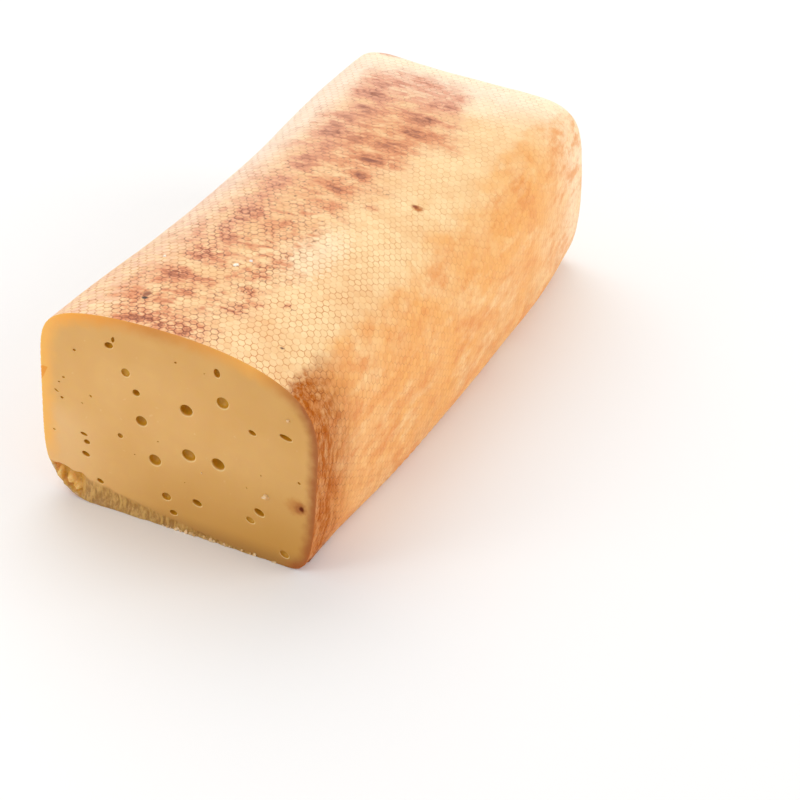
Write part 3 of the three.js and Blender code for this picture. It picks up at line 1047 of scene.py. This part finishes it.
def spot(place, middle, reach, ragged):
    """How far out of a round spot a place is: 0 in its middle, 1 at its edge, uneven where ragged."""
    scale = tuple(1 / r if r else 0 for r in reach)
    moved = add(place.id_data, "ShaderNodeMapping", Vector=place, Scale=scale,
                Location=tuple(-m * s for m, s in zip(middle, scale)))
    away = add(place.id_data, "ShaderNodeVectorMath", {"operation": "LENGTH"}, i0=moved)
    return plus(away.outputs["Value"], ramp(grain(place, 1.5, 3), 0.2, 0.8, -ragged, ragged))


def bump(height, distance, strength):
    """A normal that makes a fine height show."""
    return add(height.id_data, "ShaderNodeBump", Height=height, Distance=distance, Strength=strength)


# %% [markdown]
# ## The smoked rind
#
# Under the smoke the rind is cream and warmer in patches, with a painted highlight on the left and at
# the far end, and orange on the right side, which is brown beside the cut, partly as painted shade.
# Smoke darkens it in streaks that lie across the loaf, most in a band along the top, and in the blots
# marked before. It also settles in the grooves of the net, so the net shows as thin lines. One black
# pit near the cut is painted shade. Most of these are one function each, which takes a colour and
# gives back the next.

# %% The rind's material
RIND_SPOTS_AND_PIT_SHADE = [
    ((34.5, 146, 0), (3.2, 2.1, 0), (188, 108, 34)), ((33.6, 146.2, 0), (1.8, 1.1, 0), (142, 62, 6)),
    ((36, 17.5, 0), (0.8, 0.8, 0), (92, 44, 16)), ((-24.3, 22, 0), (1.6, 3, 0), (150, 84, 46)),
    # The black spot is painted shade for a small pit that has no hollow in the mesh.
    ((-23.5, 19, 0), (1.5, 1.3, 0), (26, 8, 2)),
]
PALE_PATCHES = [((22, 250, 0), (14, 15, 0)), ((17, 82, 0), (13, 26, 0))]


def rind_ground_and_highlights(place, x, y, z):
    """Cream with warm patches, and a painted highlight on the left, at the far end and on its tip."""
    patches = ramp(grain(place, 30, 5, 0.62), 0.38, 0.66)
    colour = blend(patches, light(252, 219, 164), light(246, 204, 147))
    tan = ramp(grain(place, 8, 4, 0.6), 0.46, 0.68, 0, 0.4)
    colour = over(colour, tan, 242, 192, 130)
    # Painted highlight on the left and at the far end, where the light from behind on the left falls.
    left = times(ramp(x, -26, -46), ramp(y, 20, 150, 0.25, 1))
    far = times(ramp(y, 224, 276, 0, 0.95), ramp(x, 24, 50, 1, 0.5))
    colour = over(colour, calc("MAXIMUM", left, far), 253, 232, 206)
    on_top = ramp(z, 60, 70)
    for middle, reach in PALE_PATCHES:
        patch = ramp(spot(place, middle, reach, 0.3), 1.2, 0.3, 0, 0.6)
        colour = over(colour, times(patch, on_top), 255, 240, 202)
    # Painted highlight along the far right edge and on the far end's tip.
    far_right_highlight = times(ramp(x, 16, 40, 0, 0.6), ramp(y, 250, 276))
    colour = over(colour, far_right_highlight, 255, 243, 208)
    tip_highlight = times(ramp(y, 258, 286, 0, 0.7), ramp(z, 50, 74, 0.2, 1))
    return over(colour, tip_highlight, 255, 247, 212)


def rind_sides(place, colour, x, y, z):
    """Pink on the left near the cut, orange on the right, and brown strokes near the base."""
    blush = times(ramp(x, -22, -36), ramp(y, 180, 110))
    mottle = ramp(grain(place, 5, 5, 0.7), 0.38, 0.64, 0, 0.5)
    colour = over(colour, times(blush, mottle), 238, 178, 154)
    shoulder = plus(x, ramp(grain(place, 13, 4, 0.6, (1, 1.6, 1)), 0.3, 0.7, -4, 4))
    warm = ramp(grain(place, 20, 4, 0.55, (1, 1.7, 1.2)), 0.3, 0.66, 0.42, 0.95)
    right = times(ramp(shoulder, 44, 56), warm, ramp(y, 275, 195, 0.4, 1))
    colour = over(colour, right, 245, 174, 88)
    strokes = ramp(grain(place, 7, 4, 0.6, (1, 1.5, 1.8)), 0.44, 0.7, 0, 0.4)
    return over(colour, times(ramp(z, 55, 10), strokes), 206, 130, 66)


def side_mottle(place, colour, x):
    """Orange-brown patches, paler scuffs and fine rust on the right side."""
    side = ramp(x, 44, 60)
    brown = ramp(grain(place, 8, 5, 0.65, (1, 2.6, 1.1)), 0.46, 0.66, 0, 0.8)
    colour = over(colour, times(side, brown), 236, 154, 76)
    scuff = ramp(grain(place, 11, 4, 0.6, (1, 2.8, 1)), 0.5, 0.72, 0, 0.7)
    colour = over(colour, times(side, scuff), 251, 212, 152)
    rust = ramp(grain(place, 3, 5, 0.7, (1, 1.2, 1)), 0.48, 0.68, 0, 0.4)
    return over(colour, times(side, rust), 234, 150, 82)


def side_smoke_and_shade(place, x, y):
    """How brown the right side is beside the cut, in upright streaks and with an uneven upper edge: partly
    smoke, partly painted shade.
    """
    edge = plus(x, ramp(grain(place, 5, 3), 0.25, 0.75, -2.5, 2.5))
    streaks = ramp(grain(place, 2.4, 5, 0.7, (1, 1.5, 4)), 0.34, 0.66, 0.55, 1.1)
    return times(ramp(edge, 44, 50), ramp(y, 38, 4), streaks)


def smoke_band(place, x, y, z):
    """The reddish band along the top, in faint streaks that lie across the loaf."""
    across = plus(x, ramp(grain(place, 16), 0.25, 0.75, -7, 7))
    right = plus(across, ramp(y, 220, 242, 0, 10), ramp(y, 70, 10, 0, 8))
    band = times(ramp(across, -50, -25), ramp(right, 30, 4), ramp(z, 60, 76), ramp(y, 286, 258))
    streaks = ramp(grain(place, 4.5, 4, 0.6, (2.2, 1, 1), 0.9), 0.32, 0.68, 0.45, 1.45)
    return times(band, ramp(y, 60, 230, 0.4, 0.56), streaks)


def smoke_amount(place, x, y, z):
    """How dark the smoke is: the band and the blots, both mottled more finely near the cut."""
    near = ramp(y, 170, 50)
    fine = ramp(grain(place, 2.6, 5, 0.75), 0.38, 0.64, 0.1, 1.9)
    patchy = ramp(grain(place, 9, 4, 0.6), 0.36, 0.64, 0.3, 1.7)
    broad = ramp(grain(place, 5, 4, 0.6, (1.5, 1, 1), 0.8), 0.32, 0.68, 0.45, 1.5)
    grooves = ramp(mark(place, "pad"), 0, 1, 2.2, 0.65)
    band = times(smoke_band(place, x, y, z), between(near, 1.0, patchy))
    blots = times(mark(place, "smoke"), between(near, broad, fine), between(near, 1.0, grooves))
    return plus(band, blots)


def smoke_wash(colour, smoke, x, y):
    """Smoke over the rind: a pink and orange wash, and dark brown where there is most."""
    pink = blend(ramp(y, 0, 110), light(228, 140, 84), light(232, 166, 132))
    wash = over(pink, ramp(x, -36, -4), 226, 146, 94)
    wash = over(wash, ramp(y, 200, 255), 232, 164, 132)
    dark = blend(ramp(y, 40, 180), light(150, 74, 30), light(146, 78, 48))
    colour = blend(ramp(smoke, 0, 0.9), colour, wash)
    return blend(ramp(smoke, 0.6, 1.6), colour, dark)


def net_lines(place, colour, smoke, x, y):
    """Tints each cell, and draws the net's grooves as broken lines, browner where there is smoke."""
    cell = times(mark(place, "cell"), ramp(y, 60, 200, 0.28, 0.15))
    colour = blend(cell, colour, light(234, 188, 142), "MULTIPLY")
    line = blend(ramp(smoke, 0.05, 0.6), light(208, 128, 60), light(130, 54, 18))
    broken = ramp(grain(place, 6, 6, 0.8), 0.36, 0.64, 0.05, 1.2)
    groove = times(ramp(mark(place, "pad"), 1, 0.3), broken)
    return blend(times(groove, ramp(y, 0, 220, 0.95, 0.4), ramp(x, 40, 54, 1, 0.6)), colour, line)


def soot_specks(place, colour, smoke, y):
    """Small dark specks where there is smoke, most of them near the cut."""
    dots = ramp(grain(place, 1.5, 1), 0.65, 0.75)
    share = times(dots, ramp(smoke, 0.05, 0.5, 0, 0.8), ramp(y, 200, 110, 0.2, 1))
    return over(colour, share, 120, 60, 30)


def dark_spots_and_pit_shade(place, colour, z):
    """A few brown spots on top of the loaf, and the black of one pit near the cut as painted shade."""
    on_top = ramp(z, 60, 66, 0, 0.95)
    for middle, reach, tone in RIND_SPOTS_AND_PIT_SHADE:
        share = ramp(spot(place, middle, reach, 0.35), 1.25, 0.4)
        colour = over(colour, times(share, on_top), *tone)
    return colour


def paint_rind(material):
    """Builds the rind's material, from the ground up to the darkest spots."""
    shader, place = new_shader(material)
    x, y, z = axes(place)
    brown = side_smoke_and_shade(place, x, y)
    smoke = smoke_amount(place, x, y, z)
    colour = rind_ground_and_highlights(place, x, y, z)
    colour = rind_sides(place, colour, x, y, z)
    colour = side_mottle(place, colour, x)
    # Brown beside the cut on the right: partly smoke, partly painted shade.
    colour = over(colour, brown, 178, 92, 14)
    colour = smoke_wash(colour, smoke, x, y)
    colour = net_lines(place, colour, plus(smoke, brown), x, y)
    colour = soot_specks(place, colour, smoke, y)
    colour = dark_spots_and_pit_shade(place, colour, z)
    fine = grain(place, 0.7, 3)
    fill(shader, {
        "Base Color": colour, "Roughness": ramp(fine, 0.2, 0.8, 0.42, 0.62),
        "Normal": bump(fine, 0.06 * MM, 0.6), "Specular IOR Level": ramp(brown, 0, 1, 0.4, 0.05),
        "Subsurface Weight": 0.08, "Subsurface Radius": (1.0, 0.5, 0.2), "Subsurface Scale": 3 * MM,
    })


paint_rind(rind_material)
print("rind nodes:", len(rind_material.node_tree.nodes))

# %% [markdown]
# ## The paste
#
# The paste is pale yellow and waxy. Painted shade darkens it towards the base, the foot and the right,
# and painted light brightens it on the left. Along the rind it is tinted: pale orange on the left, ochre
# on top and brown on the right, where the brown is partly painted shade. The eyes have a painted
# highlight on the lower right of the lip and are deeper yellow inside, partly as painted shade, and
# the torn foot is duller, partly painted shade, with painted highlights on its fibres and painted
# shade between them. One brown stain near the right edge shows where the rind let something in. A
# little subsurface light softens all of it.

# %% The paste's material
STAIN_RINGS = [
    ((53, 0, 30), (5.8, 0, 5), (196, 128, 50), 0.75),
    ((54.6, 0, 29.8), (3.4, 0, 3.4), (168, 92, 24), 0.85),
    ((55.3, 0, 29.8), (1.5, 0, 1.7), (88, 20, 0), 0.92),
]
EDGE_TINTS_AND_SHADE = [
    (-57, (250, 186, 88)), (-46, (250, 170, 60)), (-8, (208, 134, 46)), (32, (242, 172, 72)),
    # The brown at the right end is partly painted shade.
    (54, (162, 82, 6)),
]
FLAKE_FOOT = 50.5
FLAKE_TOP = 57.6
FLAKE_SLOPE = 0.45


def tints(value, stops):
    """A colour that follows a value from one stop to the next."""
    low, high = stops[0][0], stops[-1][0]
    share = add(value.id_data, "ShaderNodeMapRange", i0=value, i1=low, i2=high)
    node = add(value.id_data, "ShaderNodeValToRGB", i0=share)
    row = node.color_ramp.elements
    for place, tone in stops[1:-1]:
        row.new((place - low) / (high - low)).color = light(*tone)
    row[0].color = light(*stops[0][1])
    row[-1].color = light(*stops[-1][1])
    return node.outputs[0]


def paste_ground_and_shading(place, x, z):
    """Pale yellow with faint clouds and flecks, with painted shade towards the base, the foot and the
    right, and painted light on the left.
    """
    colour = blend(ramp(grain(place, 24), 0.3, 0.7), light(231, 181, 107), light(225, 172, 95))
    colour = over(colour, ramp(grain(place, 5, 4), 0.35, 0.65, 0, 0.4), 226, 172, 106)
    colour = over(colour, ramp(grain(place, 1.9), 0.68, 0.8, 0, 0.4), 240, 202, 146)
    # Painted shade: darker towards the base, less so on the left, and towards the right; a little darker
    # towards the top as well.
    low = times(ramp(z, 50, 0, 0, 0.75), ramp(x, -46, 8))
    deep = plus(low, ramp(x, 0, 62, 0, 0.25), ramp(z, 55, 80, 0, 0.2))
    colour = over(colour, deep, 198, 142, 56)
    # Painted light on the left of the face.
    painted_light_left = times(ramp(x, -26, -50, 0, 0.36), ramp(z, 48, 32))
    colour = over(colour, painted_light_left, 246, 204, 148)
    # Painted shadow along the foot, where the face meets the floor.
    return over(colour, ramp(z, 9, 0, 0, 0.6), 150, 100, 44)


def edge_tint_and_shade(place, colour, x, z):
    """Paste tinted by the rind beside it, all round but for the torn foot, with a wider brown on the right
    that is partly painted shade.
    """
    wander = ramp(grain(place, 5, 3), 0.2, 0.8, -0.8, 0.8)
    # The tint reaches further on the right, where its brown is partly painted shade.
    reach = times(plus(mark(place, "edge"), wander), ramp(x, 40, 54, 1, 1.4))
    off_foot = calc("MAXIMUM", ramp(z, 10, 26), ramp(x, 46, 54))
    return blend(times(ramp(reach, 8, 0.5, 0, 0.9), off_foot), colour, tints(x, EDGE_TINTS_AND_SHADE))


def rind_flake(place, colour, x, z):
    """A pointed flake of rind that the knife folded over the left edge."""
    width = times(calc("SUBTRACT", z, FLAKE_FOOT), FLAKE_SLOPE)
    across = ramp(calc("SUBTRACT", width, mark(place, "edge")), 0, 0.4)
    below_top = ramp(z, FLAKE_TOP + 0.2, FLAKE_TOP - 0.2)
    return over(colour, times(across, below_top, ramp(x, -40, -45, 0, 0.85)), 236, 148, 30)


def torn_fibres_and_shade(place, colour):
    """Duller paste where the foot is torn, partly painted shade, with painted highlights on the frayed
    fibres and painted shade in the gaps between them.
    """
    fray = ramp(grain(place, 0.9, 4, 0.65, (1, 1, 2.8)), 0.3, 0.7, -0.55, 0.55)
    strand = ramp(plus(mark(place, "fibre"), fray), -0.1, 1.2)
    # Painted highlights on the fibres' ridges and painted shade in the gaps, over a duller tone that is
    # partly painted shade.
    torn = blend(strand, light(156, 108, 38), light(212, 168, 92))
    return blend(times(mark(place, "torn"), 0.7), colour, torn)


def broken_corner(place, colour, x):
    """Pale wet curds in the broken corner, paler on their tops and ochre in the low parts below them,
    partly painted shade, and orange beside the rind.
    """
    height = plus(mark(place, "curd"), ramp(grain(place, 3), 0.2, 0.8, -0.2, 0.2))
    hollow_shade = blend(ramp(x, -50, -55), light(208, 150, 52), light(216, 140, 52))
    # Colour follows height: painted shade in the pocket's low parts, paler on the curds' tops.
    curd = over(hollow_shade, ramp(height, 0.1, 0.7), 230, 172, 82)
    curd = over(curd, ramp(height, 0.75, 1.5), 237, 194, 112)
    return blend(mark(place, "pocket"), colour, curd)


def stain(place, colour):
    """The brown stain near the right edge, from a faint halo to a dark core, and the core's share."""
    for middle, reach, tone, most in STAIN_RINGS:
        share = ramp(spot(place, middle, reach, 0.12), 1.05, 0.3, 0, most)
        colour = over(colour, share, *tone)
    return colour, share


def paint_paste(material):
    """Builds the paste's material, from the ground up to the stain."""
    shader, place = new_shader(material)
    x, _, z = axes(place)
    colour = paste_ground_and_shading(place, x, z)
    colour = edge_tint_and_shade(place, colour, x, z)
    # Painted highlight on the lower right of each eye's lip.
    colour = over(colour, times(mark(place, "lip_highlight"), 0.85), 242, 208, 146)
    # Deeper yellow inside the eyes, partly painted shade.
    colour = over(colour, mark(place, "hollow_shade"), 206, 150, 30)
    colour = rind_flake(place, colour, x, z)
    colour = torn_fibres_and_shade(place, colour)
    colour = broken_corner(place, colour, x)
    colour, core = stain(place, colour)
    fine = grain(place, 0.5, 3)
    wet = times(mark(place, "pocket"), 0.18)
    fill(shader, {
        "Base Color": colour, "Roughness": calc("SUBTRACT", ramp(fine, 0.2, 0.8, 0.36, 0.5), wet),
        "Normal": bump(fine, 0.04 * MM, 0.5), "Specular IOR Level": ramp(core, 0, 0.8, 0.4, 0.1),
        "Subsurface Weight": ramp(core, 0, 0.8, 0.25, 0.05), "Subsurface Radius": (1.0, 0.55, 0.2),
        "Subsurface Scale": 4 * MM,
    })


paint_paste(paste_material)
print("paste nodes:", len(paste_material.node_tree.nodes))

# %% [markdown]
# The crumbs are the same cheese, drier and paler, and white on top of the loaf. They hold light
# even more than the paste does.

# %% The crumbs' material
def paint_crumbs(material):
    """Builds the crumbs' material."""
    shader, place = new_shader(material)
    dry = ramp(grain(place, 2), 0.35, 0.65)
    colour = blend(dry, light(222, 178, 116), light(240, 206, 160))
    colour = over(colour, ramp(axes(place)[2], 70, 80), 252, 242, 228)
    fill(shader, {
        "Base Color": colour, "Roughness": 0.5, "Subsurface Weight": 0.3,
        "Subsurface Radius": (1.0, 0.6, 0.3), "Subsurface Scale": 1 * MM,
    })


paint_crumbs(crumb_material)
print("crumb nodes:", len(crumb_material.node_tree.nodes))

# %% [markdown]
# ## Light, floor and camera
#
# The light is a bright overcast studio: a white world, one large soft lamp above and behind on the
# left and one on the right, so that the top and the side glow and the cut face lies in gentle shade.
# A small near lamp on the left gives that face a fall-off to the right. The floor is plain and pale.

# %% Floor and lights
FLOOR_HALF = 3.0


def make_floor():
    """A wide pale floor under the loaf."""
    corners = [(-FLOOR_HALF, -FLOOR_HALF, 0), (FLOOR_HALF, -FLOOR_HALF, 0), (FLOOR_HALF, FLOOR_HALF, 0),
               (-FLOOR_HALF, FLOOR_HALF, 0)]
    mesh = bpy.data.meshes.new("pale_floor")
    mesh.from_pydata(corners, [], [(0, 1, 2, 3)])
    material = bpy.data.materials.new("pale_floor")
    material.use_nodes = True
    shader = material.node_tree.nodes["Principled BSDF"]
    fill(shader, {"Base Color": (0.93, 0.925, 0.92, 1), "Roughness": 0.7})
    mesh.materials.append(material)
    return new_object("pale_floor", mesh)


def soft_lamp(name, place, aim, size, power):
    """A round white lamp at a place, turned towards its aim."""
    data = bpy.data.lights.new(name, "AREA")
    data.shape = "DISK"
    data.size = size
    data.energy = power
    lamp = new_object(name, data)
    lamp.location = place
    lamp.rotation_euler = (Vector(aim) - Vector(place)).to_track_quat("-Z", "Y").to_euler()


floor = make_floor()
world = bpy.data.worlds.new("white_studio")
bpy.context.scene.world = world
world.use_nodes = True
fill(world.node_tree.nodes["Background"], {"Color": (1, 1, 1, 1), "Strength": 0.7})
soft_lamp("sky_lamp", (-0.8, 0.9, 1.5), (0, 0, 0.05), 1.8, 13)
soft_lamp("side_lamp", (1.6, 0.5, 0.9), (0, 0, 0.05), 1.4, 11)
soft_lamp("face_lamp", (-0.42, -0.62, 0.4), (-0.03, -0.15, 0.05), 0.3, 0.9)
bpy.context.scene.view_settings.view_transform = "Standard"
print(len(bpy.data.lights), "lamps over the floor")

# %% [markdown]
# The camera stands to the right of the cut and looks down on it, with the lens of a portrait.

# %% Camera
TURN = math.radians(21.52)
TILT = math.radians(33.81)
ROLL = math.radians(4.78)
DISTANCE = 837.6 * MM
AIM = Vector((face_x + 41 * MM, knife_y + 128 * MM, 0))
LENS = 85.5
SENSOR = 36
NEAREST = 10 * MM


def make_camera():
    """A camera at a distance from its aim, turned, tilted and rolled."""
    data = bpy.data.cameras.new("camera")
    data.sensor_width = SENSOR
    data.lens = LENS
    data.clip_start = NEAREST
    back = Vector((math.sin(TURN) * math.cos(TILT), -math.cos(TURN) * math.cos(TILT), math.sin(TILT)))
    level = Vector((math.cos(TURN), math.sin(TURN), 0))
    upright = back.cross(level)
    right = level * math.cos(ROLL) + upright * math.sin(ROLL)
    up = upright * math.cos(ROLL) - level * math.sin(ROLL)
    facing = Matrix((right, up, back)).transposed().to_4x4()
    camera = new_object("camera", data)
    camera.matrix_world = Matrix.Translation(AIM + back * DISTANCE) @ facing
    bpy.context.scene.camera = camera


make_camera()
print("camera", round(DISTANCE / MM), "mm from its aim, lens", LENS, "mm")

# %% [markdown]
# ## Handing over
#
# The loaf stands for the solid, its loose bits ride with it, and the two boxes are written down so
# that they can be compared.

# %% Pieces on the frame
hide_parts("cheese_loaf")
for piece in (loaf, crumbs):
    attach(piece, "root")
floor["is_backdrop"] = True
visual_low, visual_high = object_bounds()
print_box("visual", visual_low, visual_high)
